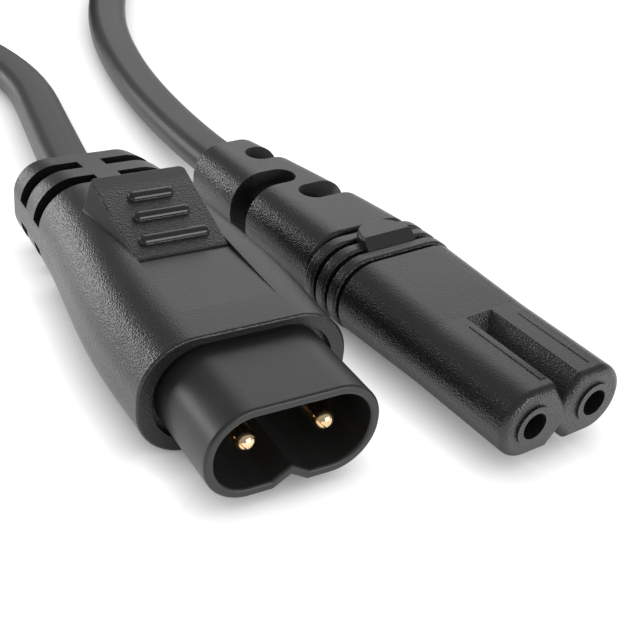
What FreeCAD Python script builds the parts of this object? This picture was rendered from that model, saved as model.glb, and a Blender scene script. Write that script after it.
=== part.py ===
import FreeCAD
import Part
import math
import os

V = FreeCAD.Vector

# A short extension lead with a two-pole figure-eight plug on one end and the matching
# figure-eight socket on the other, joined by a flat twin cord. Millimetres, +Z up, both
# ends lying on the surface z = 0 with their mating faces towards -Y.

# Contacts, shared by both ends
pin_pitch = 8.6
pin_diameter = 2.4
crimp_diameter = 3.0
crimp_length = 5.5
crimp_wall = 0.8
strand_diameter = 1.1
core_diameter = 2.0
core_spacing = 2.9
contact_clearance = 0.02
cut_margin = 1.0

# Flat twin cord
cord_width = 6.8
cord_thickness = 4.2

# Plug: hard shroud around the pins
shroud_width = 19.0
shroud_height = 10.4
shroud_wall = 1.05
shroud_depth = 10.6
shroud_rim_round = 0.35
key_half_width = 1.9
key_depth = 1.2
key_wall = 1.2
pin_setback = 1.2
seam_width = 0.14
seam_depth = 0.2
seam_angle = 48.5
seam_offset = 0.4
carrier_length = 5.6
flange_step = 0.8
flange_length = 1.6

# Plug: moulded grip
grip_width = 23.6
grip_height = 13.4
grip_corner = 6.1
grip_end_corner = 5.5
grip_front_ease = 0.1
grip_middle_ease = 0.35
grip_end_ease = 0.4
grip_belly = 0.2
grip_front_round = 0.25
grip_waist_width = 20.8
grip_end_width = 19.0
grip_body_length = 36.4
grip_relief_length = 8.7
grip_relief_width = 16.8
grip_relief_height = 10.4
grip_relief_corner = 4.0
grip_relief_lean = 0.9
grip_crown = 0.3
joint_gap = 0.6
joint_gap_depth = 1.0
label_front = 4.6
label_drop = 0.15
ramp_front = 15.5
ramp_length = 13.1
ramp_step = 0.2
ramp_rise = 3.7
ramp_front_width = 10.8
ramp_rear_width = 11.4
ramp_side_draft = 1.1
ramp_round = 0.2
ramp_corner = 0.7
rib_radius = 0.7
rib_places = (2.5, 6.0, 9.1)
rib_half_lengths = (3.45, 2.7, 2.05)
relief_slot_width = 2.3
relief_slot_places = (36.0, 41.1)
relief_spine = 2.9
relief_web = 2.8
relief_wall = 0.8
sheath_depth = 19.0

# Socket: nose that enters a figure-eight inlet
nose_width = 16.8
nose_height = 8.1
nose_length = 14.4
nose_front_round = nose_height / 9
groove_half_width = 1.9
groove_depth = nose_height / 3
groove_length = 14.2
groove_end_slope = 1.8
notch_half_width = 1.4
notch_depth = 0.21 * nose_height
notch_length = 12.5
entry_diameter = 3.1
entry_ring_diameter = 4.6
entry_ring_height = 0.25
face_wall = 3.0
sleeve_length = 11.0
sleeve_wall = 0.5
sleeve_slot = 0.5
holder_wall = 0.85
holder_web = 1.3

# Socket: moulded body
shoulder_width = 17.4
shoulder_height = 9.3
shoulder_length = 13.0
ring_width = 17.8
ring_height = 9.5
ring_corner = 4.6
ring_length = 1.6
ring_gap = 0.65
ring_count = 3
ring_depth = 0.8
ring_round = 0.35
block_width = 15.8
block_height = 9.6
block_corner = 4.5
block_end_width = 10.8
block_end_height = 8.8
block_end_corner = 4.1
block_length = 28.15
block_round = 0.5
relief_lean = 1.9
tab_half_width = 3.5
tab_length = 4.7
tab_slope = 1.3
tab_rise = 1.1
tab_offset = 2.1
tab_round = 0.4
bite_width = 3.9
bite_places = (10.4, 15.8, 22.9)
bite_reaches = (2.2, 0.3, 2.2)
socket_sheath_depth = 19.0

# Where the two ends lie: face centres and the turn of the socket
plug_left = 12.5
plug_ahead = 25.2
socket_right = 16.0
socket_ahead = 30.8
socket_turn = 5.5
plug_face = V(-plug_left, -plug_ahead, 0)
socket_face = V(socket_right, -socket_ahead, 0)

# Cord routes on the surface, from each end's strain relief to the coil
plug_route = [
    V(-8.2, 57.0, 3.2),
    V(-4.6, 78.8, 2.2),
    V(-9.8, 99.8, 2.2),
    V(-20.6, 118.8, 2.2),
    V(-31.5, 135.8, 2.9),
    V(-36.3, 152.8, 3.8),
]
socket_route = [
    V(10.1, 57.8, 3.0),
    V(12.4, 78.0, 2.2),
    V(16.5, 97.8, 2.3),
    V(23.8, 115.8, 3.2),
    V(32.0, 131.8, 5.8),
    V(37.2, 148.8, 9.4),
]
lead_out = 0.5

# Coil of the cord that is put away, two layers deep, and its tie
coil_right = 0.5
coil_behind = 164.0
coil_centre = V(coil_right, coil_behind, 0)
coil_mid_radius = 33.0
coil_spread = 8.0
coil_slack = 0.4
coil_lift = 0.6
coil_layers = 2
coil_corner = 2.0
tie_width = 5.0
tie_thickness = 0.6


# Small geometry helpers


def box(x0, x1, y0, y1, z0, z1):
    return Part.makeBox(x1 - x0, y1 - y0, z1 - z0, V(x0, y0, z0))


def section(y, half_width, top, bottom, corner):
    # A rounded rectangle across the Y axis
    radius = min(corner, half_width * 0.97, (top - bottom) * 0.485)
    lean = radius * (1.0 - math.sqrt(0.5))
    left, right = -half_width, half_width
    edges = [
        Part.LineSegment(V(left + radius, y, top), V(right - radius, y, top)),
        Part.Arc(V(right - radius, y, top), V(right - lean, y, top - lean), V(right, y, top - radius)),
        Part.LineSegment(V(right, y, top - radius), V(right, y, bottom + radius)),
        Part.Arc(
            V(right, y, bottom + radius), V(right - lean, y, bottom + lean), V(right - radius, y, bottom)
        ),
        Part.LineSegment(V(right - radius, y, bottom), V(left + radius, y, bottom)),
        Part.Arc(V(left + radius, y, bottom), V(left + lean, y, bottom + lean), V(left, y, bottom + radius)),
        Part.LineSegment(V(left, y, bottom + radius), V(left, y, top - radius)),
        Part.Arc(V(left, y, top - radius), V(left + lean, y, top - lean), V(left + radius, y, top)),
    ]
    return Part.Wire([edge.toShape() for edge in edges])


def prism(y0, y1, width, height, corner):
    face = Part.Face(section(y0, width / 2, height / 2, -height / 2, corner))
    return face.extrude(V(0, y1 - y0, 0))


def polygon_prism(points, direction):
    wire = Part.makePolygon(points + points[:1])
    return Part.Face(wire).extrude(direction)


def rod(diameter, start, end):
    return Part.makeCylinder(diameter / 2, (end - start).Length, start, end - start)


def half_space(first, second, third, towards):
    # Everything on the side of the plane through three points that holds the point "towards"
    normal = (second - first).cross(third - first)
    if normal.dot(towards - first) < 0:
        normal = normal * -1.0
    reach = 4.0 * grip_width
    return Part.makeCylinder(reach, reach, first, normal)


def edges_at(shape, y):
    found = []
    for edge in shape.Edges:
        bounds = edge.BoundBox
        if abs(bounds.YMin - y) < 1e-4 and abs(bounds.YMax - y) < 1e-4:
            found.append(edge)
    return found


def rounded_route(points):
    # Straight runs joined by the largest tangent arcs that the runs leave room for
    edges = []
    radii = []
    here = points[0]
    for before, corner, after in zip(points, points[1:], points[2:]):
        arriving = (corner - before).normalize()
        leaving = (after - corner).normalize()
        half_turn = arriving.getAngle(leaving) / 2
        reach = 0.45 * min((corner - before).Length, (after - corner).Length)
        radius = reach / math.tan(half_turn)
        inward = (leaving - arriving).normalize()
        start = corner - arriving * reach
        end = corner + leaving * reach
        middle = corner + inward * (radius / math.cos(half_turn) - radius)
        edges.append(Part.LineSegment(here, start).toShape())
        edges.append(Part.Arc(start, middle, end).toShape())
        radii.append(radius)
        here = end
    edges.append(Part.LineSegment(here, points[-1]).toShape())
    return Part.Wire(edges), radii


def swept(outline, path):
    sweep = Part.BRepOffsetAPI.MakePipeShell(path)
    sweep.setBiNormalMode(V(0, 0, 1))
    sweep.add(outline)
    sweep.build()
    sweep.makeSolid()
    return sweep.shape()


def cut_all(shape, tools):
    for tool in tools:
        shape = shape.cut(tool)
    return shape


# Both ends: a wire from each contact's crimp to the cord


def core_route(side, front, rear, aside):
    # The insulated core leaves the crimp and closes up to the cord
    wide = side * pin_pitch / 2
    close = side * core_spacing / 2 + aside
    step = (rear - front) / 3
    corners = [V(wide, front, 0), V(wide, front + step, 0), V(close, rear - step, 0), V(close, rear, 0)]
    return rounded_route(corners)[0]


def wire_pair(side, crimp_rear, sheath_front, aside):
    strand_front = crimp_rear - crimp_length + crimp_wall
    path = core_route(side, crimp_rear, sheath_front + strand_diameter, aside)
    place = V(side * pin_pitch / 2, crimp_rear, 0)
    disc = Part.Wire(Part.makeCircle(core_diameter / 2, place, V(0, 1, 0)))
    thread = Part.Wire(Part.makeCircle(strand_diameter / 2, place, V(0, 1, 0)))
    bare = rod(strand_diameter, V(place.x, strand_front, 0), place)
    strands = bare.fuse(swept(thread, path)).removeSplitter()
    core = swept(disc, path).cut(strands)
    return core, strands


def crimp(side, front, rear):
    x = side * pin_pitch / 2
    barrel = rod(crimp_diameter, V(x, front, 0), V(x, rear, 0))
    strand_front = rear - crimp_length + crimp_wall
    return barrel.cut(rod(strand_diameter, V(x, strand_front, 0), V(x, rear, 0)))


# Plug


carrier_rear = shroud_depth + carrier_length
plug_crimp_rear = carrier_rear + crimp_length
grip_rear = shroud_depth + grip_body_length + grip_relief_length
plug_sheath_front = grip_rear - sheath_depth


def make_pin(side):
    x = side * pin_pitch / 2
    radius = pin_diameter / 2
    shank = rod(pin_diameter, V(x, pin_setback + radius, 0), V(x, shroud_depth, 0))
    pin = shank.fuse(Part.makeSphere(radius, V(x, pin_setback + radius, 0)))
    root = rod(pin_diameter + flange_step, V(x, shroud_depth, 0), V(x, carrier_rear, 0))
    stop = rod(
        pin_diameter + 2 * flange_step,
        V(x, carrier_rear - 2 * flange_length, 0),
        V(x, carrier_rear - flange_length, 0),
    )
    pin = pin.fuse([root, stop]).removeSplitter()
    low = -seam_offset - seam_width / 2
    dome = V(0, pin_setback + radius, 0)
    seam = box(-pin_diameter, pin_diameter, 0, dome.y, low, low + seam_width)
    seam.rotate(V(0, 0, 0), V(0, 1, 0), seam_angle)
    seam = seam.cut(Part.makeSphere(radius - seam_depth, dome))
    seam.translate(V(x, 0, 0))
    pin = pin.cut(seam)
    return pin.fuse(crimp(side, carrier_rear, plug_crimp_rear)).removeSplitter()


def make_shroud(pins):
    inner_width = shroud_width - 2 * shroud_wall
    inner_height = shroud_height - 2 * shroud_wall
    shell = prism(0, carrier_rear, shroud_width, shroud_height, shroud_height)
    floor = -shroud_height / 2
    key = [
        V(-2 * key_half_width, -cut_margin, floor - key_depth),
        V(0, -cut_margin, floor + key_depth),
        V(2 * key_half_width, -cut_margin, floor - key_depth),
    ]
    shell = shell.cut(polygon_prism(key, V(0, shroud_depth + cut_margin, 0)))
    hollow = prism(-cut_margin, shroud_depth, inner_width, inner_height, inner_height)
    ridge = [point + V(0, -cut_margin, key_wall) for point in key]
    hollow = hollow.cut(polygon_prism(ridge, V(0, shroud_depth + 3 * cut_margin, 0)))
    shell = shell.cut(hollow)
    shell = shell.makeFillet(shroud_rim_round, edges_at(shell, 0))
    flange = prism(
        carrier_rear - 2 * flange_length,
        carrier_rear - flange_length,
        shroud_width + 2 * flange_step,
        shroud_height + 2 * flange_step,
        shroud_height,
    )
    shell = shell.fuse(flange).removeSplitter()
    return cut_all(shell, pins)


def make_ramp():
    # The thumb rest: a wedge that climbs towards the cord, with three half-round ribs
    base = grip_height / 2 - label_drop
    front = shroud_depth + ramp_front
    rear = front + ramp_length
    deep = base - 3 * ramp_side_draft
    foot = base + ramp_step
    side = [
        V(-grip_width / 2, front, deep),
        V(-grip_width / 2, front, foot),
        V(-grip_width / 2, rear, base + ramp_rise),
        V(-grip_width / 2, rear + ramp_side_draft / 2, deep),
    ]
    ramp = polygon_prism(side, V(grip_width, 0, 0))
    for way in (-1, 1):
        low = V(way * (ramp_rear_width / 2 + ramp_side_draft), rear, base - ramp_side_draft)
        high = V(way * ramp_rear_width / 2, rear, base + ramp_rise)
        near = V(way * ramp_front_width / 2, front, base)
        ramp = ramp.cut(half_space(low, high, near, V(way * grip_width, front, base)))
    corners = []
    for edge in ramp.Edges:
        bounds = edge.BoundBox
        if bounds.YMin > rear - 1e-4 and bounds.ZMax - bounds.ZMin > ramp_rise:
            corners.append(edge)
    ramp = ramp.makeFillet(ramp_corner, corners)
    top_edges = []
    for edge in ramp.Edges:
        bounds = edge.BoundBox
        if bounds.ZMax > base + ramp_rise - ramp_corner and bounds.ZMin > base - 1e-4:
            top_edges.append(edge)
    ramp = ramp.makeFillet(ramp_round, top_edges)
    for place, half_length in zip(rib_places, rib_half_lengths):
        height = foot + (ramp_rise - ramp_step) * place / ramp_length
        left = V(-half_length, front + place, height)
        right = V(half_length, front + place, height)
        ramp = ramp.fuse([rod(2 * rib_radius, left, right)])
        ramp = ramp.fuse([Part.makeSphere(rib_radius, left), Part.makeSphere(rib_radius, right)])
    return ramp.removeSplitter()


def make_grip():
    half = grip_height / 2
    front = shroud_depth
    body_end = front + grip_body_length
    relief = grip_relief_height / 2
    widest = grip_width / 2
    crown = half + grip_crown
    belly = half + grip_belly
    stations = [
        (front, widest - grip_front_ease, half, belly, grip_corner),
        (front + 0.22 * grip_body_length, widest, half + grip_crown / 2, belly, grip_corner),
        (front + 0.46 * grip_body_length, widest - grip_middle_ease, crown, belly, grip_corner),
        (front + 0.72 * grip_body_length, grip_waist_width / 2, crown, half, grip_corner),
        (body_end, grip_end_width / 2, half - grip_end_ease, half - grip_end_ease, grip_end_corner),
        (grip_rear, grip_relief_width / 2, relief, relief, grip_relief_corner),
    ]
    wires = [section(y, wide, top, -low, corner) for y, wide, top, low, corner in stations]
    wires[-1].translate(V(-grip_relief_lean, 0, 0))
    grip = Part.makeLoft(wires, True, False)
    grip = grip.makeFillet(grip_front_round, edges_at(grip, front) + edges_at(grip, grip_rear))
    grip = grip.cut(box(-grip_width, grip_width, 0, grip_rear + cut_margin, -2 * grip_height, -half))
    side = -ramp_front_width / 2
    ramp_middle = front + ramp_front + ramp_length / 2
    label = [
        V(side, front + label_front, half + grip_crown / 4),
        V(side, front + ramp_front, half - label_drop),
        V(side, ramp_middle, half - label_drop),
        V(side, ramp_middle, 2 * half),
        V(side, front + label_front, 2 * half),
    ]
    grip = grip.cut(polygon_prism(label, V(ramp_front_width, 0, 0)))
    grip = grip.fuse(make_ramp()).removeSplitter()
    for place in relief_slot_places:
        grip = grip.cut(relief_slot(front + place - relief_slot_width / 2))
    gap = prism(
        front - cut_margin,
        front + joint_gap_depth,
        shroud_width + 2 * joint_gap,
        shroud_height + 2 * joint_gap,
        shroud_height,
    )
    return grip.cut(gap)


def grip_lean_at(y):
    # The cord leans aside from where its sheath starts to the end of the strain relief
    return -grip_relief_lean * (y - plug_sheath_front) / sheath_depth


def relief_slot(y0):
    # A slot round the strain relief that leaves the core, a spine above and below, and side webs
    y1 = y0 + relief_slot_width
    wide = grip_width
    aside = grip_lean_at(y0)
    slot = box(-wide, wide, y0, y1, -wide, wide)
    core = prism(
        y0 - cut_margin,
        y1 + cut_margin,
        cord_width + 2 * relief_wall,
        cord_thickness + 2 * relief_wall,
        cord_thickness / 2 + relief_wall,
    )
    core.translate(V(aside, 0, 0))
    start = y0 - cut_margin
    end = y1 + cut_margin
    spine = box(aside - relief_spine / 2, aside + relief_spine / 2, start, end, -wide, wide)
    web = box(-wide, wide, start, end, -relief_web / 2, relief_web / 2)
    return cut_all(slot, [core, spine, web])


# Socket


socket_crimp_front = face_wall + sleeve_length
socket_crimp_rear = socket_crimp_front + crimp_length
ring_front = nose_length + shoulder_length
ring_pitch = ring_length + ring_gap
block_front = ring_front + ring_count * ring_pitch + ring_gap
socket_rear = block_front + block_length
socket_sheath_front = socket_rear - socket_sheath_depth
socket_axis_height = ring_height / 2 + tab_rise


def make_sleeve(side):
    # A rolled spring sleeve with a slot along it, and a crimp behind
    x = side * pin_pitch / 2
    bore = pin_diameter + 2 * contact_clearance
    outer = rod(bore + 2 * sleeve_wall, V(x, face_wall, 0), V(x, socket_crimp_front, 0))
    sleeve = outer.cut(rod(bore, V(x, face_wall - cut_margin, 0), V(x, socket_crimp_front, 0)))
    slot_end = socket_crimp_front - cut_margin
    slot = box(x - sleeve_slot / 2, x + sleeve_slot / 2, face_wall - cut_margin, slot_end, 0, bore)
    sleeve = sleeve.cut(slot)
    return sleeve.fuse(crimp(side, socket_crimp_front, socket_crimp_rear)).removeSplitter()


def sleeve_space(side):
    x = side * pin_pitch / 2
    outer = pin_diameter + 2 * contact_clearance + 2 * sleeve_wall
    return rod(outer, V(x, face_wall, 0), V(x, socket_crimp_front, 0))


def make_holder():
    # The hard carrier that the two sleeves sit in
    tube = pin_diameter + 2 * contact_clearance + 2 * sleeve_wall + 2 * holder_wall
    holder = box(
        -pin_pitch / 2, pin_pitch / 2, face_wall, socket_crimp_front, -holder_web / 2, holder_web / 2
    )
    for side in (-1, 1):
        x = side * pin_pitch / 2
        holder = holder.fuse(rod(tube, V(x, face_wall, 0), V(x, socket_crimp_front, 0)))
    return cut_all(holder.removeSplitter(), [sleeve_space(-1), sleeve_space(1)])


def make_nose():
    half = nose_height / 2
    nose = prism(0, nose_length, nose_width, nose_height, nose_height)
    slope = 2 * groove_depth / groove_half_width
    groove = [
        V(0, -cut_margin, half - groove_depth),
        V(2 * groove_half_width, -cut_margin, half - groove_depth + slope * groove_half_width),
        V(-2 * groove_half_width, -cut_margin, half - groove_depth + slope * groove_half_width),
    ]
    channel = polygon_prism(groove, V(0, groove_length + 2 * cut_margin, 0))
    back_edge = V(0, groove_length, half)
    foot = V(0, groove_length - groove_end_slope, half - groove_depth)
    beyond = half_space(back_edge, foot, foot + V(1, 0, 0), V(0, 2 * groove_length, half))
    nose = nose.cut(channel.cut(beyond))
    notch = [
        V(0, -cut_margin, notch_depth - half),
        V(2 * notch_half_width, -cut_margin, -half - notch_depth),
        V(-2 * notch_half_width, -cut_margin, -half - notch_depth),
    ]
    nose = nose.cut(polygon_prism(notch, V(0, notch_length + cut_margin, 0)))
    nose = nose.makeFillet(nose_front_round, edges_at(nose, 0))
    for side in (-1, 1):
        x = side * pin_pitch / 2
        nose = nose.fuse(rod(entry_ring_diameter, V(x, -entry_ring_height, 0), V(x, face_wall, 0)))
    return nose.removeSplitter()


def make_collar():
    # Finger rings in front of the block, on a core that shows between them
    core_width = ring_width - 2 * ring_depth
    core_height = ring_height - 2 * ring_depth
    collar = prism(ring_front, block_front, core_width, core_height, ring_corner - ring_depth)
    for index in range(ring_count):
        start = ring_front + ring_gap + index * ring_pitch
        ring = prism(start, start + ring_length, ring_width, ring_height, ring_corner)
        ring = ring.makeFillet(ring_round, edges_at(ring, start) + edges_at(ring, start + ring_length))
        collar = collar.fuse(ring)
    return collar.removeSplitter()


def make_tab(way):
    # A thumb tab with a sloping front and a rounded back, standing on the rings
    front = ring_front + tab_offset
    rear = front + tab_length
    corner = front + 0.35 * tab_length
    crease = front + tab_slope
    low = way * (ring_height / 2 - 2 * ring_depth)
    edges = [
        Part.LineSegment(V(-tab_half_width, corner, low), V(-tab_half_width, front, low)),
        Part.LineSegment(V(-tab_half_width, front, low), V(tab_half_width, front, low)),
        Part.LineSegment(V(tab_half_width, front, low), V(tab_half_width, corner, low)),
        Part.Arc(V(tab_half_width, corner, low), V(0, rear, low), V(-tab_half_width, corner, low)),
    ]
    outline = Part.Wire([edge.toShape() for edge in edges])
    top = way * (ring_height / 2 + tab_rise)
    tab = Part.Face(outline).extrude(V(0, 0, top - low))
    foot = V(0, front, way * ring_height / 2)
    edge_point = V(0, crease, top)
    tab = tab.cut(half_space(foot, edge_point, edge_point + V(1, 0, 0), V(0, front, 2 * top)))
    rim = []
    for edge in tab.Edges:
        bounds = edge.BoundBox
        level = abs(bounds.ZMin - top) < 1e-4 and abs(bounds.ZMax - top) < 1e-4
        if level and bounds.YMax > crease + 1e-4:
            rim.append(edge)
    return tab.makeFillet(tab_round, rim)


def lean_at(place):
    # The strain relief leans aside as the cord pulls it
    return -relief_lean * place / block_length


def relief_core(place):
    core = prism(
        block_front + place - bite_width,
        block_front + place + bite_width,
        cord_width + 2 * relief_wall,
        cord_thickness + 2 * relief_wall,
        cord_thickness / 2 + relief_wall,
    )
    core.translate(V(lean_at(place), 0, 0))
    return core


def make_bite(place, reach, way):
    # A round-ended slot into the strain relief from one side, clear of the core round the cord
    middle = block_front + place
    tall = ring_height
    end = -way * reach + way * bite_width / 2
    far = way * ring_width
    bite = box(
        min(end, far), max(end, far), middle - bite_width / 2, middle + bite_width / 2, -tall, tall
    )
    bite = bite.fuse(rod(bite_width, V(end, middle, -tall), V(end, middle, tall)))
    return bite.cut(relief_core(place))


def block_section(share):
    # The block narrows and leans aside from its front to the cord's exit
    place = share * block_length
    wide = block_width + (block_end_width - block_width) * share ** 1.3
    high = block_height + (block_end_height - block_height) * share ** 1.6
    corner = block_corner + (block_end_corner - block_corner) * share
    wire = section(block_front + place, wide / 2, high / 2, -high / 2, corner)
    wire.translate(V(lean_at(place), 0, 0))
    return wire


def make_neck():
    # An even taper from the nose to the finger rings
    half = nose_height / 2
    shoulder = shoulder_height / 2
    stations = [(nose_length, nose_width / 2, half), (ring_front, shoulder_width / 2, shoulder)]
    wires = [section(y, wide, high, -high, high) for y, wide, high in stations]
    return Part.makeLoft(wires, True, True)


def make_socket_outer():
    block = Part.makeLoft([block_section(share) for share in (0.0, 0.3, 0.65, 1.0)], True, False)
    block = block.makeFillet(block_round, edges_at(block, block_front) + edges_at(block, socket_rear))
    for index, place in enumerate(bite_places):
        way = 1 if index % 2 == 0 else -1
        block = block.cut(make_bite(place, bite_reaches[index], way))
    body = make_nose().fuse([make_neck(), make_collar(), make_tab(1), make_tab(-1), block])
    body = body.removeSplitter()
    for side in (-1, 1):
        x = side * pin_pitch / 2
        body = body.cut(rod(entry_diameter, V(x, -cut_margin, 0), V(x, face_wall, 0)))
    return body


# Cord


def cord_outline(place, direction):
    # The flat cord's section across its first run, its wide side level
    flat = section(0, cord_width / 2, cord_thickness / 2, -cord_thickness / 2, cord_thickness)
    flat.Placement = FreeCAD.Placement(place, FreeCAD.Rotation(V(0, 1, 0), direction))
    return flat


def cord_run(name, start, exit_point, route, last):
    ahead = (exit_point - start).normalize()
    points = [start, exit_point + ahead * lead_out] + route + [last]
    path, radii = rounded_route(points)
    run = swept(cord_outline(start, ahead), path)
    area = Part.Face(cord_outline(start, ahead)).Area
    print(name, "length", round(path.Length, 1), "radii", [round(radius) for radius in radii])
    print(name, "volume over section times length", round(run.Volume / (area * path.Length), 4))
    return run


def coil_section(grow):
    spread = coil_spread + cord_thickness + 2 * coil_slack + 2 * grow
    tall = coil_layers * cord_width + coil_slack + 2 * grow
    base = coil_lift - grow
    wire = section(0, spread / 2, base + tall, base, coil_corner + grow)
    wire.translate(coil_centre + V(coil_mid_radius, 0, 0))
    return Part.Face(wire)


def make_coil(grow=0.0):
    return coil_section(grow).revolve(coil_centre, V(0, 0, 1), 360)


def make_tie(coil):
    around = make_coil(tie_thickness)
    x = coil_centre.x
    y = coil_centre.y
    reach = coil_mid_radius * 2
    slab = box(x - tie_width / 2, x + tie_width / 2, y, y + reach, -reach, reach)
    return around.common(slab).cut(coil)


# Assembly


def place_plug(shape):
    shape = shape.copy()
    shape.translate(plug_face + V(0, 0, grip_height / 2))
    return shape


def place_socket(shape):
    shape = shape.copy()
    shape.rotate(V(0, 0, 0), V(0, 0, 1), socket_turn)
    shape.translate(socket_face + V(0, 0, socket_axis_height))
    return shape


def socket_point(u, v):
    turn = math.radians(socket_turn)
    across = V(math.cos(turn), math.sin(turn), 0)
    along = V(-math.sin(turn), math.cos(turn), 0)
    return socket_face + across * u + along * v + V(0, 0, socket_axis_height)


def plug_nodes():
    names = {-1: "line", 1: "neutral"}
    nodes = {}
    for side, name in names.items():
        nodes[name + "_pin"] = make_pin(side)
        core, strands = wire_pair(side, plug_crimp_rear, plug_sheath_front, 0)
        nodes["plug_" + name + "_core"] = core
        nodes["plug_" + name + "_strands"] = strands
    pins = [nodes["line_pin"], nodes["neutral_pin"]]
    nodes["plug_shroud"] = make_shroud(pins)
    nodes["plug_grip"] = cut_all(make_grip(), list(nodes.values()))
    return nodes


def socket_nodes():
    names = {-1: "neutral", 1: "line"}
    nodes = {"contact_holder": make_holder()}
    aside = lean_at(socket_sheath_front - block_front)
    for side, name in names.items():
        nodes[name + "_sleeve"] = make_sleeve(side)
        core, strands = wire_pair(side, socket_crimp_rear, socket_sheath_front, aside)
        nodes["socket_" + name + "_core"] = core
        nodes["socket_" + name + "_strands"] = strands
    spaces = [sleeve_space(-1), sleeve_space(1)]
    nodes["socket_body"] = cut_all(make_socket_outer(), list(nodes.values()) + spaces)
    return nodes


def main():
    nodes = {}
    for name, shape in plug_nodes().items():
        nodes[name] = place_plug(shape)
    for name, shape in socket_nodes().items():
        nodes[name] = place_socket(shape)

    axis = plug_face + V(0, 0, grip_height / 2)
    coil = make_coil()
    outer_turn = coil_mid_radius + coil_spread / 2
    low_layer = coil_lift + coil_slack / 2 + cord_width / 2
    high_layer = low_layer + cord_width
    plug_run = cord_run(
        "plug run",
        axis + V(0, plug_sheath_front, 0),
        axis + V(-grip_relief_lean, grip_rear, 0),
        plug_route,
        coil_centre + V(-outer_turn, cord_width, low_layer),
    )
    socket_run = cord_run(
        "socket run",
        socket_point(lean_at(socket_sheath_front - block_front), socket_sheath_front),
        socket_point(lean_at(block_length), socket_rear),
        socket_route,
        coil_centre + V(outer_turn, cord_width, high_layer),
    )
    for name in nodes:
        run = plug_run if name.startswith("plug") else socket_run
        if name.endswith(("_grip", "_body", "_core", "_strands")):
            nodes[name] = nodes[name].cut(run)
    nodes["cord_plug_run"] = plug_run.cut(coil)
    nodes["cord_socket_run"] = socket_run.cut(coil)
    nodes["cord_coil"] = coil
    nodes["coil_tie"] = make_tie(coil)

    os.makedirs("parts", exist_ok=True)
    for name, shape in nodes.items():
        solids = shape.Solids
        print(name, "solids", len(solids), "valid", shape.isValid(), "volume", round(shape.Volume, 1))
        shape = solids[0] if len(solids) == 1 else shape
        shape.exportStep("parts/" + name + ".step")


main()
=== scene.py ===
import math

import bpy
from mathutils import Matrix, Vector


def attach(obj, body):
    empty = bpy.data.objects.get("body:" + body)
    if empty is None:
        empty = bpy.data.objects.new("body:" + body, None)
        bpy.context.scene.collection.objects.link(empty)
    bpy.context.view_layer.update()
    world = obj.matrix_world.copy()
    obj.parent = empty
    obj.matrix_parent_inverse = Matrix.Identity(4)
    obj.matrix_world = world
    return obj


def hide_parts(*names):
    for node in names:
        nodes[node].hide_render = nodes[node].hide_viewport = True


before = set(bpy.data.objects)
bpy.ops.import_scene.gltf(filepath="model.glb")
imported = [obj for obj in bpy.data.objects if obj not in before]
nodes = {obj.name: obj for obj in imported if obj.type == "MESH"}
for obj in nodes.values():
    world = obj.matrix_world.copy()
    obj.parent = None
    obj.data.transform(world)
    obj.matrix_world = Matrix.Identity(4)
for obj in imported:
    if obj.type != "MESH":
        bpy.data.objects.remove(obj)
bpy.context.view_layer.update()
print("frame loaded:", len(nodes), "solids")

# camera: where the lead was looked at from, rolled a little as the picture was held
lookout = {
    "place": (-0.06090, -0.10076, 0.07717),
    "back": (-0.4642, -0.7073, 0.5332),  # from the lead towards the eye
    "right": (0.8638, -0.4946, 0.0960),  # along the picture's lower edge
    "lens": 67.52,
    "sensor": 36.0,
    "nearest": 0.005,
}


def setCamera():
    back = Vector(lookout["back"]).normalized()
    up = back.cross(Vector(lookout["right"])).normalized()
    right = up.cross(back)
    bpy.ops.object.camera_add()
    camera = bpy.context.object
    camera.name = "lookout"
    turned = Matrix((right, up, back)).transposed().to_4x4()
    camera.matrix_world = Matrix.Translation(lookout["place"]) @ turned
    camera.data.lens = lookout["lens"]
    camera.data.sensor_width = lookout["sensor"]
    camera.data.clip_start = lookout["nearest"]
    bpy.context.scene.camera = camera


setCamera()
print("camera set")


def deselectAll():
    bpy.ops.object.select_all(action="DESELECT")


def pickOnly(piece):
    deselectAll()
    piece.select_set(True)
    bpy.context.view_layer.objects.active = piece


def editAll():
    bpy.ops.object.mode_set(mode="EDIT")
    bpy.ops.mesh.select_all(action="SELECT")


def endEdit():
    bpy.ops.object.mode_set(mode="OBJECT")


def applyPlace():
    bpy.ops.object.transform_apply(location=True, rotation=True, scale=True)


def applyModifiers(piece):
    pickOnly(piece)
    for modifier in list(piece.modifiers):
        bpy.ops.object.modifier_apply(modifier=modifier.name)


def addBlock(size, middle):
    deselectAll()
    bpy.ops.mesh.primitive_cube_add(size=1.0)
    block = bpy.context.object
    block.scale = size
    block.location = middle
    applyPlace()
    return block


def joinPieces(pieces):
    deselectAll()
    for piece in pieces:
        piece.select_set(True)
    bpy.context.view_layer.objects.active = pieces[0]
    bpy.ops.object.join()
    return pieces[0]


def smoothFaces(angle):
    bpy.ops.object.shade_smooth_by_angle(angle=math.radians(angle))


def settle(piece, name):
    # the place goes into the mesh, and the piece joins the frame
    pickOnly(piece)
    applyPlace()
    piece.name = name
    piece.data.name = name
    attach(piece, "root")


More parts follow.
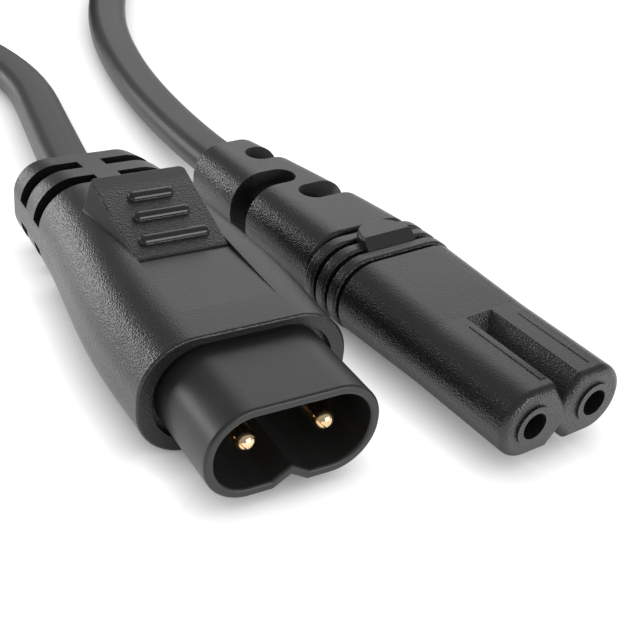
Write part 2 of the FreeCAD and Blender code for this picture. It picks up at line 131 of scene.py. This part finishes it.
# flat twin cord: from inside the plug's relief, along the table, round the coil and back to the socket
flatCord = {
    "width": 0.0068,
    "thick": 0.0042,
    "waist": 0.00012,  # the sheath dips a little between its two cores
    "roundSteps": 8,  # faces round each rounded edge
    "exit": (-0.0134, 0.0305, 0.0067),
    "length": 1.04,
    "plugSide": [
        (-0.0125, 0.0115, 0.0067),
        (-0.01342, 0.0310, 0.0067),
        (-0.0082, 0.0570, 0.0032),
        (-0.0046, 0.0788, 0.0022),
        (-0.0098, 0.0998, 0.0022),
        (-0.0206, 0.1188, 0.0022),
        (-0.0315, 0.1358, 0.0029),
        (-0.0363, 0.1528, 0.0038),
    ],
    "socketSide": [
        (0.0372, 0.1488, 0.0094),
        (0.0320, 0.1318, 0.0058),
        (0.0238, 0.1158, 0.0032),
        (0.0165, 0.0978, 0.0023),
        (0.0124, 0.0780, 0.0022),
        (0.0101, 0.0578, 0.0030),
        (0.007994, 0.032172, 0.00585),
        (0.011173, 0.012889, 0.00585),
    ],
    "coilMiddle": (0.0005, 0.1640),
    "coilOuter": 0.0370,
    "coilInner": 0.0290,
    "coilLow": 0.0037,  # centre of the lower layer, which rests on the table
    "coilHigh": 0.0110,
    "coilTurns": 3.5,
    "pointsPerTurn": 24,
    "climbFrom": 0.44,  # share of the coil at which the cord starts up to the upper layer
    "climbSpan": 0.12,
    "tieLift": 0.0005,  # the lower layer is lifted over the tie
    "tieNarrow": 12,  # how closely that lift keeps to the tie
    "splineOrder": 3,
    "splineSteps": 6,
    "twistFrom": 0.112,  # the flat side turns upright between these lengths from each end
    "twistTo": 0.150,
    "mapPerMetre": 10.0,
    "weld": 0.000001,
    "smoothAngle": 40.0,
}


def easeStep(share):
    share = min(1.0, max(0.0, share))
    return share * share * (3.0 - 2.0 * share)


def coilPoints():
    # clockwise from the left, inwards on the lower layer and outwards on the upper one
    count = int(flatCord["coilTurns"] * flatCord["pointsPerTurn"])
    spread = flatCord["coilOuter"] - flatCord["coilInner"]
    points = []
    for index in range(count + 1):
        done = index / count
        angle = math.pi - done * flatCord["coilTurns"] * 2.0 * math.pi
        radius = flatCord["coilInner"] + spread * abs(2.0 * done - 1.0)
        climb = easeStep((done - flatCord["climbFrom"]) / flatCord["climbSpan"])
        height = flatCord["coilLow"] + (flatCord["coilHigh"] - flatCord["coilLow"]) * climb
        overTie = max(0.0, math.sin(angle)) ** flatCord["tieNarrow"]
        height += flatCord["tieLift"] * overTie * (1.0 - climb)
        across = flatCord["coilMiddle"][0] + radius * math.cos(angle)
        along = flatCord["coilMiddle"][1] + radius * math.sin(angle)
        points.append((across, along, height))
    return points


def splineLine(route):
    # the route's points steer one smooth spline, and its line is read back
    curve = bpy.data.curves.new("cordLine", "CURVE")
    curve.dimensions = "3D"
    spline = curve.splines.new("NURBS")
    spline.points.add(len(route) - 1)
    for point, place in zip(spline.points, route):
        point.co = (*place, 1.0)
    spline.order_u = flatCord["splineOrder"]
    spline.use_endpoint_u = True
    spline.resolution_u = flatCord["splineSteps"]
    holder = bpy.data.objects.new("cordLine", curve)
    bpy.context.scene.collection.objects.link(holder)
    bpy.context.view_layer.update()
    line = bpy.data.meshes.new_from_object(holder.evaluated_get(bpy.context.evaluated_depsgraph_get()))
    points = [vertex.co.copy() for vertex in line.vertices]
    bpy.data.objects.remove(holder)
    bpy.data.curves.remove(curve)
    bpy.data.meshes.remove(line)
    return points


def cordSection():
    # rounded ends, and a slight dip in the middle of each flat side
    roundness = flatCord["thick"] / 2.0
    flat = flatCord["width"] / 2.0 - roundness
    steps = flatCord["roundSteps"]
    outline = []
    for end in (1.0, -1.0):
        for index in range(steps + 1):
            angle = math.pi * (index / steps - end * 0.5)
            outline.append((end * flat + roundness * math.cos(angle), roundness * math.sin(angle)))
        outline.append((0.0, end * (roundness - flatCord["waist"])))
    return outline


def runLengths(points):
    lengths = [0.0]
    for before, after in zip(points, points[1:]):
        lengths.append(lengths[-1] + (after - before).length)
    return lengths


def cordRings(points, lengths, outline):
    # one ring of vertices at each point, turned upright on the way to the coil
    reach = flatCord["twistTo"] - flatCord["twistFrom"]
    vertices = []
    for index, point in enumerate(points):
        before = points[max(0, index - 1)]
        after = points[min(len(points) - 1, index + 1)]
        ahead = (after - before).normalized()
        side = ahead.cross(Vector((0.0, 0.0, 1.0))).normalized()
        over = side.cross(ahead)
        fromEnd = min(lengths[index], lengths[-1] - lengths[index])
        twist = easeStep((fromEnd - flatCord["twistFrom"]) / reach) * math.pi / 2.0
        wide = side * math.cos(twist) + over * math.sin(twist)
        thin = over * math.cos(twist) - side * math.sin(twist)
        vertices += [point + wide * across + thin * high for across, high in outline]
    return vertices


def cordFaces(ringCount, around):
    faces = []
    for ring in range(ringCount - 1):
        low = ring * around
        high = low + around
        for spot in range(around):
            after = (spot + 1) % around
            faces.append((low + spot, low + after, high + after, high + spot))
    faces.append(tuple(range(around - 1, -1, -1)))
    faces.append(tuple(range((ringCount - 1) * around, ringCount * around)))
    return faces


def mapSheath(mesh, lengths, around):
    # along the cord and once round it, for the streaks of the sheath
    sheathMap = mesh.uv_layers.new(name="sheath")
    for face in mesh.polygons:
        closing = any(vertex % around == around - 1 for vertex in face.vertices)
        for corner, vertex in zip(face.loop_indices, face.vertices):
            spot = vertex % around
            if spot == 0 and closing:
                spot = around
            along = lengths[vertex // around] * flatCord["mapPerMetre"]
            sheathMap.data[corner].uv = (along, spot / around)


def sweepCord(points):
    outline = cordSection()
    lengths = runLengths(points)
    vertices = cordRings(points, lengths, outline)
    mesh = bpy.data.meshes.new("flat_cord")
    mesh.from_pydata([tuple(place) for place in vertices], [], cordFaces(len(points), len(outline)))
    mapSheath(mesh, lengths, len(outline))
    mesh.update()
    print("cord length", round(lengths[-1], 4), "rings", len(points))
    return mesh


def makeCord():
    points = splineLine(flatCord["plugSide"] + coilPoints() + flatCord["socketSide"])
    cord = bpy.data.objects.new("flat_cord", sweepCord(points))
    bpy.context.scene.collection.objects.link(cord)
    pickOnly(cord)
    editAll()
    bpy.ops.mesh.remove_doubles(threshold=flatCord["weld"])
    bpy.ops.mesh.normals_make_consistent(inside=False)
    endEdit()
    smoothFaces(flatCord["smoothAngle"])
    settle(cord, "flat_cord")
    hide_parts("cord_plug_run", "cord_coil", "cord_socket_run")
    return cord, points


cord, cordPath = makeCord()

# twist tie round the coil, at its far side
coilTie = {
    "middle": (0.0005, 0.1970, 0.0076),
    "across": 0.0142,  # outside of the band, along the coil's radius
    "tall": 0.0152,
    "corner": 0.0026,
    "cornerSteps": 6,
    "width": 0.0050,
    "thick": 0.0006,
    "edge": 0.00012,
    "edgeSteps": 2,
    "tailLength": 0.0150,
    "tailStrip": (0.0026, 0.0007),  # width and thickness of each of the two ends
    "tailApart": 0.00045,
    "tailCuts": (5, 3),
    "tailTurns": 2.5,
    "tailPlace": (0.0005, 0.1898, 0.0092),
    "tailDroop": 14.0,
    "smoothAngle": 35.0,
}


def makeTieBand():
    deselectAll()
    bpy.ops.mesh.primitive_plane_add(size=1.0)
    band = bpy.context.object
    band.scale = (coilTie["tall"], coilTie["across"], 1.0)
    band.rotation_euler = (0.0, math.pi / 2.0, 0.0)
    applyPlace()
    editAll()
    bpy.ops.mesh.bevel(offset=coilTie["corner"], segments=coilTie["cornerSteps"], affect="VERTICES")
    bpy.ops.mesh.select_all(action="SELECT")
    bpy.ops.mesh.delete(type="ONLY_FACE")
    bpy.ops.mesh.select_all(action="SELECT")
    bpy.ops.transform.translate(value=(-coilTie["width"] / 2.0, 0.0, 0.0))
    bpy.ops.mesh.extrude_region_move(TRANSFORM_OT_translate={"value": (coilTie["width"], 0.0, 0.0)})
    bpy.ops.mesh.select_all(action="SELECT")
    bpy.ops.mesh.normals_make_consistent(inside=False)
    endEdit()
    wall = band.modifiers.new("wall", "SOLIDIFY")
    wall.thickness = coilTie["thick"]
    wall.offset = -1.0
    edge = band.modifiers.new("edge", "BEVEL")
    edge.width = coilTie["edge"]
    edge.segments = coilTie["edgeSteps"]
    applyModifiers(band)
    band.location = coilTie["middle"]
    return band


def makeTieTail():
    # the two ends of the tie, twisted round each other and pressed flat into the coil's middle
    wide, thick = coilTie["tailStrip"]
    strips = []
    for half in (-1.0, 1.0):
        middle = (0.0, half * coilTie["tailApart"], coilTie["tailLength"] / 2.0)
        strips.append(addBlock((wide, thick, coilTie["tailLength"]), middle))
        editAll()
        for cuts in coilTie["tailCuts"]:
            bpy.ops.mesh.subdivide(number_cuts=cuts)
        endEdit()
    tail = joinPieces(strips)
    twist = tail.modifiers.new("twist", "SIMPLE_DEFORM")
    twist.deform_method = "TWIST"
    twist.deform_axis = "Z"
    twist.angle = coilTie["tailTurns"] * 2.0 * math.pi
    applyModifiers(tail)
    tail.rotation_euler = (math.radians(90.0 + coilTie["tailDroop"]), 0.0, 0.0)
    tail.location = coilTie["tailPlace"]
    return tail


def makeTie():
    tie = joinPieces([makeTieBand(), makeTieTail()])
    smoothFaces(coilTie["smoothAngle"])
    settle(tie, "twist_tie")
    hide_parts("coil_tie")
    return tie


tie = makeTie()
print("cord and tie made")

# the socket's own directions on the table
socketSeat = {
    "face": (0.0160, -0.0308, 0.00585),
    "turn": 5.5,
    "noseTop": 0.00405,
}

# fine mould lines on the nose, each side of its key groove
noseLines = {
    "wideStrip": {"across": -0.00236, "width": 0.00086, "from": 0.0016, "to": 0.0126, "rise": 0.00010},
    "thinLine": {"across": 0.00415, "width": 0.00024, "from": 0.0016, "to": 0.0123, "rise": 0.00008},
    "sink": 0.0005,
    "edgeShare": 0.8,  # of the rise, rounded off along the top
    "edgeSteps": 3,
    "topReach": 0.00001,
    "smoothAngle": 50.0,
}


def roundTopEdges(strip, top, offset):
    bpy.ops.object.mode_set(mode="EDIT")
    bpy.ops.mesh.select_mode(type="EDGE")
    bpy.ops.mesh.select_all(action="DESELECT")
    endEdit()
    for edge in strip.data.edges:
        heights = [strip.data.vertices[spot].co.z for spot in edge.vertices]
        edge.select = min(heights) > top - noseLines["topReach"]
    bpy.ops.object.mode_set(mode="EDIT")
    bpy.ops.mesh.bevel(offset=offset, segments=noseLines["edgeSteps"])
    endEdit()


def makeNoseLine(name):
    line = noseLines[name]
    tall = line["rise"] + noseLines["sink"]
    top = socketSeat["noseTop"] + line["rise"]
    middle = (line["across"], (line["from"] + line["to"]) / 2.0, top - tall / 2.0)
    strip = addBlock((line["width"], line["to"] - line["from"], tall), middle)
    roundTopEdges(strip, top, line["rise"] * noseLines["edgeShare"])
    smoothFaces(noseLines["smoothAngle"])
    strip.rotation_euler = (0.0, 0.0, math.radians(socketSeat["turn"]))
    strip.location = socketSeat["face"]
    settle(strip, "nose_" + name)
    return strip


noseStrips = [makeNoseLine("wideStrip"), makeNoseLine("thinLine")]
print("mould lines made")


class Feed:
    # a node socket that can be used in sums
    def __init__(self, tree, socket):
        self.tree = tree
        self.socket = socket

    def sum(self, operation, first, second):
        step = self.tree.nodes.new("ShaderNodeMath")
        step.operation = operation
        for value, socket in zip((first, second), step.inputs):
            fill(self.tree, socket, value)
        return Feed(self.tree, step.outputs[0])

    def __add__(self, other):
        return self.sum("ADD", self, other)

    def __radd__(self, other):
        return self.sum("ADD", other, self)

    def __sub__(self, other):
        return self.sum("SUBTRACT", self, other)

    def __rsub__(self, other):
        return self.sum("SUBTRACT", other, self)

    def __mul__(self, other):
        return self.sum("MULTIPLY", self, other)


def fill(tree, socket, value):
    if isinstance(value, Feed):
        tree.links.new(value.socket, socket)
    else:
        socket.default_value = value


class Wiring:
    # makes shader nodes in one tree
    def __init__(self, tree):
        self.tree = tree

    def node(self, kind, settings=None, values=None, out=0):
        made = self.tree.nodes.new("ShaderNode" + kind)
        for name, value in (settings or {}).items():
            setattr(made, name, value)
        for name, value in (values or {}).items():
            fill(self.tree, made.inputs[name], value)
        return Feed(self.tree, made.outputs[out])

    def apart(self, vector):
        return [self.node("SeparateXYZ", None, {"Vector": vector}, out) for out in range(3)]


class Finish(Wiring):
    # a material, and the nodes that make its surface
    def __init__(self, name):
        self.material = bpy.data.materials.new(name)
        self.material.use_nodes = True
        super().__init__(self.material.node_tree)
        self.shader = self.tree.nodes["Principled BSDF"]

    def place(self, turn=0.0, middle=(0.0, 0.0, 0.0)):
        spot = self.node("TexCoord", out="Object")
        mapped = {"Vector": spot, "Location": middle, "Rotation": (0.0, 0.0, turn)}
        return self.node("Mapping", {"vector_type": "TEXTURE"}, mapped)

    def facing(self):
        return self.apart(self.node("NewGeometry", out="Normal"))

    def noise(self, vector, scale, detail=2.0, roughness=0.5):
        values = {"Vector": vector, "Scale": scale, "Detail": detail, "Roughness": roughness}
        return self.node("TexNoise", None, values)

    def ramp(self, value, low, high):
        # 0 below low and 1 above high, with a soft change between
        values = {"Value": value, "From Min": low, "From Max": high}
        return self.node("MapRange", {"interpolation_type": "SMOOTHSTEP"}, values)

    def inside(self, value, start, full, fade, end):
        # 1 between full and fade, and 0 before start and after end
        return self.ramp(value, start, full) * (1.0 - self.ramp(value, fade, end))

    def mix(self, share, first, second):
        return self.node("Mix", {"data_type": "RGBA"}, {0: share, 6: first, 7: second}, 2)

    def bump(self, height, strength, distance):
        values = {"Height": height, "Strength": strength, "Distance": distance}
        return self.node("Bump", None, values)

    def surface(self, values):
        for name, value in values.items():
            fill(self.tree, self.shader.inputs[name], value)
        return self.material


def grey(level):
    return (level, level, level, 1.0)


# charcoal moulding with a spark-eroded grain
grainPlastic = {
    "dark": 0.013,
    "light": 0.021,
    "grainScale": 4200.0,
    "fineTimes": 1.6,  # the finest grain is this much finer
    "fineShare": 0.5,
    "pebbleShare": 0.7,
    "grainHeight": 0.00007,
    "cloudScale": 90.0,
    "speckPebble": 0.8,
    "speckCloud": 0.2,
    "speckBand": (0.30, 0.60),
    "polished": 0.36,  # roughness where the mould is smooth
    "grained": 0.28,  # roughness on each grain
    "roughSway": 0.06,
    "specular": 0.62,
}


def grainedSurface(finish, place, keep, dull):
    # keep is the share of the grain that shows, and dull is added to the roughness
    fine = finish.noise(place, grainPlastic["grainScale"] * grainPlastic["fineTimes"], detail=1.0)
    pebbles = finish.node("TexVoronoi", None, {"Vector": place, "Scale": grainPlastic["grainScale"]})
    cloud = finish.noise(place, grainPlastic["cloudScale"], detail=3.0)
    height = (fine * grainPlastic["fineShare"] + pebbles * grainPlastic["pebbleShare"]) * keep
    mottle = pebbles * grainPlastic["speckPebble"] + cloud * grainPlastic["speckCloud"]
    speck = finish.ramp(mottle, *grainPlastic["speckBand"])
    sway = grainPlastic["roughSway"]
    rough = grainPlastic["polished"] - sway / 2.0 + cloud * sway
    rough = rough + keep * (grainPlastic["grained"] - grainPlastic["polished"]) + dull
    return finish.surface({
        "Base Color": finish.mix(speck * keep, grey(grainPlastic["dark"]), grey(grainPlastic["light"])),
        "Roughness": rough,
        "Normal": finish.bump(height, strength=1.0, distance=grainPlastic["grainHeight"]),
        "Specular IOR Level": grainPlastic["specular"],
    })


# the plug's grip is smoother on top, smoothest in its label window, and grained on its thumb rest
gripZones = {
    "left": -0.0179,
    "right": -0.0071,
    "front": -0.0100,
    "rear": 0.0009,
    "height": 0.0126,
    "crisp": 0.0003,
    "soft": 0.0030,
    "restRear": 0.0150,
    "restSlope": 0.267,  # the thumb rest climbs towards the cord
    "restFoot": 0.01345,
    "restCalm": (0.0108, 0.0124),  # behind the ribs the grain fades out
    "calmShare": 0.7,
    "ribRise": (0.0001, 0.0002),  # above the thumb rest, where a rib's top begins
    "ribShine": 0.20,
    "topFacing": (0.60, 1.0),
    "topPolish": 0.60,
    "labelPolish": 0.15,
    "frontFacing": (0.70, 0.95),
    "frontPolish": 0.5,
    "cheekFacing": (0.75, 0.90),  # the thumb rest's upright side
    "cheekHeight": (0.0131, 0.0136),
    "cheekPolish": 0.8,
    "cheekDull": 0.40,
}


def labelWindow(finish, x, y, z):
    crisp = gripZones["crisp"]
    soft = gripZones["soft"]
    left, right = gripZones["left"], gripZones["right"]
    front, rear = gripZones["front"], gripZones["rear"]
    window = finish.inside(x, left, left + soft, right - crisp, right)
    window = window * finish.inside(y, front, front + soft, rear - crisp, rear)
    return window * finish.ramp(z, gripZones["height"], gripZones["height"] + crisp)


def thumbRest(finish, x, y):
    crisp = gripZones["crisp"]
    left, right = gripZones["left"], gripZones["right"]
    front, rear = gripZones["rear"], gripZones["restRear"]
    rest = finish.inside(x, left - crisp, left, right, right + crisp)
    return rest * finish.inside(y, front, front + crisp, rear, rear + crisp)


def plugGripFinish():
    finish = Finish("charcoal_grip")
    place = finish.place()
    x, y, z = finish.apart(place)
    sideways, ahead, upward = finish.facing()
    rest = thumbRest(finish, x, y)
    cheek = finish.ramp(sideways * -1.0, *gripZones["cheekFacing"])
    cheek = cheek * finish.ramp(z, *gripZones["cheekHeight"])
    smooth = finish.ramp(upward, *gripZones["topFacing"]) * gripZones["topPolish"]
    smooth = smooth + labelWindow(finish, x, y, z) * gripZones["labelPolish"]
    smooth = smooth + finish.ramp(ahead * -1.0, *gripZones["frontFacing"]) * gripZones["frontPolish"]
    smooth = smooth + cheek * gripZones["cheekPolish"]
    above = z - (y - gripZones["rear"]) * gripZones["restSlope"]
    ribs = finish.ramp(above, *[gripZones["restFoot"] + rise for rise in gripZones["ribRise"]])
    calm = ribs + finish.ramp(y, *gripZones["restCalm"]) * gripZones["calmShare"]
    dull = cheek * gripZones["cheekDull"] - ribs * rest * gripZones["ribShine"]
    return grainedSurface(finish, place, 1.0 - smooth * (1.0 - rest) - calm * rest, dull)


# the socket's flat top is smoother than its rounded sides, and the relief's slots are dull inside
bodyZones = {
    "topFacing": (0.60, 1.0),
    "topPolish": 0.6,
    "slotFacing": (0.05, 0.30),
    "slotFront": (0.0370, 0.0380),
    "slotHalf": (0.004, 0.005),  # half the width over which the slots are dull
    "slotPolish": 0.8,
    "slotDull": 0.4,
    "underFacing": (0.0, 0.5),
    "underDull": 0.3,
}


def socketBodyFinish():
    finish = Finish("charcoal_body")
    place = finish.place(math.radians(socketSeat["turn"]), socketSeat["face"])
    x, y, _ = finish.apart(place)
    upward = finish.facing()[2]
    polished = finish.ramp(upward, *bodyZones["topFacing"])
    slots = 1.0 - finish.ramp(upward, *bodyZones["slotFacing"])
    slots = slots * finish.ramp(y, *bodyZones["slotFront"])
    slots = slots * (1.0 - finish.ramp(x * x, *[half * half for half in bodyZones["slotHalf"]]))
    under = finish.ramp(upward * -1.0, *bodyZones["underFacing"])
    keep = 1.0 - polished * bodyZones["topPolish"] - slots * bodyZones["slotPolish"]
    dull = slots * bodyZones["slotDull"] + under * bodyZones["underDull"]
    return grainedSurface(finish, place, keep, dull)


# harder, smoother moulding round the pins
shroudPlastic = {"dark": 0.024, "light": 0.030, "roughness": 0.32, "sway": 0.10}


def shroudFinish():
    finish = Finish("satin_shroud")
    place = finish.place()
    flow = finish.noise(place, scale=260.0, detail=4.0, roughness=0.6)
    fine = finish.noise(place, scale=3600.0, detail=1.0)
    return finish.surface({
        "Base Color": finish.mix(flow, grey(shroudPlastic["dark"]), grey(shroudPlastic["light"])),
        "Roughness": shroudPlastic["roughness"] + flow * shroudPlastic["sway"],
        "Normal": finish.bump(fine, strength=0.25, distance=0.00003),
    })


# drawn brass, a little duller in patches
pinBrass = {
    "bright": (0.88, 0.68, 0.42, 1.0),
    "dull": (0.70, 0.49, 0.25, 1.0),
    "roughness": 0.13,
    "patchSway": 0.06,
    "drawnSway": 0.05,
    "stretch": 0.06,  # the drawing marks are long, so their noise is slow along the pin
}


def brassFinish():
    finish = Finish("drawn_brass")
    place = finish.place()
    x, y, z = finish.apart(place)
    patches = finish.ramp(finish.noise(place, scale=700.0, detail=3.0), low=0.45, high=0.75)
    stretched = finish.node("CombineXYZ", None, {"X": x, "Y": y * pinBrass["stretch"], "Z": z})
    drawn = finish.noise(stretched, scale=9000.0, detail=2.0)
    return finish.surface({
        "Base Color": finish.mix(patches, pinBrass["bright"], pinBrass["dull"]),
        "Metallic": 1.0,
        "Roughness": pinBrass["roughness"] + patches * pinBrass["patchSway"] + drawn * pinBrass["drawnSway"],
        "Normal": finish.bump(drawn, strength=0.2, distance=0.00001),
    })


# what lies inside the two ends, each a little cloudy
innerLooks = {
    "pale_carrier": {
        "dark": (0.52, 0.50, 0.46, 1.0),
        "light": (0.60, 0.58, 0.53, 1.0),
        "scale": 400.0,
        "detail": 3.0,
        "roughness": 0.42,
        "sway": 0.10,
        "metallic": 0.0,
    },
    "copper_strands": {
        "dark": (0.72, 0.34, 0.18, 1.0),
        "light": (0.86, 0.48, 0.30, 1.0),
        "scale": 5000.0,
        "detail": 2.0,
        "roughness": 0.24,
        "sway": 0.12,
        "metallic": 1.0,
    },
    "brown_core": {
        "dark": (0.16, 0.062, 0.026, 1.0),
        "light": (0.20, 0.080, 0.034, 1.0),
        "scale": 900.0,
        "detail": 3.0,
        "roughness": 0.38,
        "sway": 0.12,
        "metallic": 0.0,
    },
    "blue_core": {
        "dark": (0.020, 0.110, 0.36, 1.0),
        "light": (0.028, 0.140, 0.42, 1.0),
        "scale": 900.0,
        "detail": 3.0,
        "roughness": 0.38,
        "sway": 0.12,
        "metallic": 0.0,
    },
}


def innerFinish(name):
    look = innerLooks[name]
    finish = Finish(name)
    cloud = finish.noise(finish.place(), look["scale"], look["detail"])
    return finish.surface({
        "Base Color": finish.mix(cloud, look["dark"], look["light"]),
        "Metallic": look["metallic"],
        "Roughness": look["roughness"] + cloud * look["sway"],
    })


# cord sheath: extruded, so its marks run along it
sheathLook = {
    "dark": 0.034,
    "light": 0.046,
    "roughness": 0.37,
    "sway": 0.12,
    "streakAlong": 1.5,
    "streakAround": 60.0,
    "streakShare": 0.6,
    "grainShare": 0.4,
}


def sheathFinish():
    finish = Finish("extruded_sheath")
    along, around, _ = finish.apart(finish.node("UVMap", {"uv_map": "sheath"}))
    drawn = {"X": along * sheathLook["streakAlong"], "Y": around * sheathLook["streakAround"], "Z": 0.0}
    streaks = finish.noise(finish.node("CombineXYZ", None, drawn), scale=1.0, detail=3.0, roughness=0.6)
    grain = finish.noise(finish.place(), scale=2600.0, detail=2.0, roughness=0.6)
    height = streaks * sheathLook["streakShare"] + grain * sheathLook["grainShare"]
    return finish.surface({
        "Base Color": finish.mix(streaks, grey(sheathLook["dark"]), grey(sheathLook["light"])),
        "Roughness": sheathLook["roughness"] + streaks * sheathLook["sway"],
        "Normal": finish.bump(height, strength=0.4, distance=0.00004),
    })


# ribbed ribbon of the tie
tieRibbon = {"dark": 0.020, "light": 0.032, "roughness": 0.34, "sway": 0.12, "ribScale": 7000.0}


def tieFinish():
    finish = Finish("tie_ribbon")
    place = finish.place()
    x = finish.apart(place)[0]
    ribs = finish.node("Math", {"operation": "SINE"}, {0: x * tieRibbon["ribScale"]})
    cloud = finish.noise(place, scale=500.0, detail=3.0)
    return finish.surface({
        "Base Color": finish.mix(cloud, grey(tieRibbon["dark"]), grey(tieRibbon["light"])),
        "Roughness": tieRibbon["roughness"] + cloud * tieRibbon["sway"],
        "Normal": finish.bump(ribs, strength=0.3, distance=0.00005),
    })


def dress(piece, material):
    if not piece.material_slots:
        piece.data.materials.append(material)
    for slot in piece.material_slots:
        slot.material = material


bodyFinish = socketBodyFinish()
brass = brassFinish()
copper = innerFinish("copper_strands")
dressing = {
    "plug_grip": plugGripFinish(),
    "plug_shroud": shroudFinish(),
    "socket_body": bodyFinish,
    "contact_holder": innerFinish("pale_carrier"),
}
for pole, core in (("line", innerFinish("brown_core")), ("neutral", innerFinish("blue_core"))):
    dressing[pole + "_pin"] = brass
    dressing[pole + "_sleeve"] = brass
    for end in ("plug_", "socket_"):
        dressing[end + pole + "_strands"] = copper
        dressing[end + pole + "_core"] = core
for nodeName, material in dressing.items():
    dress(nodes[nodeName], material)
dress(cord, sheathFinish())
dress(tie, tieFinish())
for strip in noseStrips:
    dress(strip, bodyFinish)
print("finishes laid on")

# pale table, with a painted contact shadow round the lead, and soft studio light
studio = {
    "tableSize": 40.0,
    "tableColour": 0.52,
    "tableRoughness": 0.9,
    "tableSpecular": 0.1,
    "tableLift": 0.95,  # how much whiter the table is where it is looked at or mirrored
    "paintedShadowReach": 0.0045,  # the lift fades under and beside the lead: a painted contact shadow on the table
    "paintedShadowSamples": 8,
    "worldLow": 0.31,
    "worldHigh": 0.42,
    "worldTop": 0.9,  # the height in the sky at which it is brightest
    "aim": (0.0, 0.0, 0.005),
    "lamps": [
        {"name": "backSoftbox", "place": (0.34, 0.52, 0.40), "size": (0.55, 0.55), "watts": 1.0},
        {"name": "leftPanel", "place": (-0.36, 0.53, 0.11), "size": (0.50, 0.14), "watts": 1.25},
        {"name": "frontPanel", "place": (0.22, -0.56, 0.15), "size": (0.44, 0.30), "watts": 1.5},
    ],
}
white = grey(1.0)


def tableFinish():
    finish = Finish("pale_table")
    finish.surface({
        "Base Color": grey(studio["tableColour"]),
        "Roughness": studio["tableRoughness"],
        "Specular IOR Level": studio["tableSpecular"],
    })
    rays = ("Is Camera Ray", "Is Glossy Ray", "Is Transmission Ray")
    camera, glossy, through = [finish.node("LightPath", out=ray) for ray in rays]
    # the table's glow fades by ambient occlusion near the lead, which paints its contact shadow; glossy rays
    # see that painted shadow too
    around = {"Distance": studio["paintedShadowReach"]}
    paintedShadowFade = finish.node("AmbientOcclusion", {"samples": studio["paintedShadowSamples"]}, around, "AO")
    strength = (camera + glossy + through) * studio["tableLift"] * paintedShadowFade
    glow = finish.node("Emission", None, {"Color": white, "Strength": strength})
    lit = finish.node("AddShader", None, {0: Feed(finish.tree, finish.shader.outputs[0]), 1: glow})
    fill(finish.tree, finish.tree.nodes["Material Output"].inputs["Surface"], lit)
    return finish.material


def setTable():
    deselectAll()
    bpy.ops.mesh.primitive_plane_add(size=studio["tableSize"])
    table = bpy.context.object
    table.name = "table"
    dress(table, tableFinish())


def setWorld():
    world = bpy.data.worlds.new("studio")
    bpy.context.scene.world = world
    world.use_nodes = True
    wiring = Wiring(world.node_tree)
    height = wiring.apart(wiring.node("TexCoord", out="Generated"))[2]
    levels = {"To Min": studio["worldLow"], "To Max": studio["worldHigh"]}
    rise = {"Value": height, "From Min": 0.0, "From Max": studio["worldTop"], **levels}
    sky = world.node_tree.nodes["Background"]
    fill(world.node_tree, sky.inputs["Strength"], wiring.node("MapRange", None, rise))
    fill(world.node_tree, sky.inputs["Color"], white)


def setLamps():
    for lamp in studio["lamps"]:
        bpy.ops.object.light_add(type="AREA", location=lamp["place"])
        light = bpy.context.object
        light.name = lamp["name"]
        light.data.shape = "RECTANGLE"
        light.data.size, light.data.size_y = lamp["size"]
        light.data.energy = lamp["watts"]
        aim = Vector(studio["aim"]) - light.location
        light.rotation_euler = aim.to_track_quat("-Z", "Y").to_euler()


setTable()
setWorld()
setLamps()
bpy.context.scene.view_settings.view_transform = "Standard"
print("studio set")
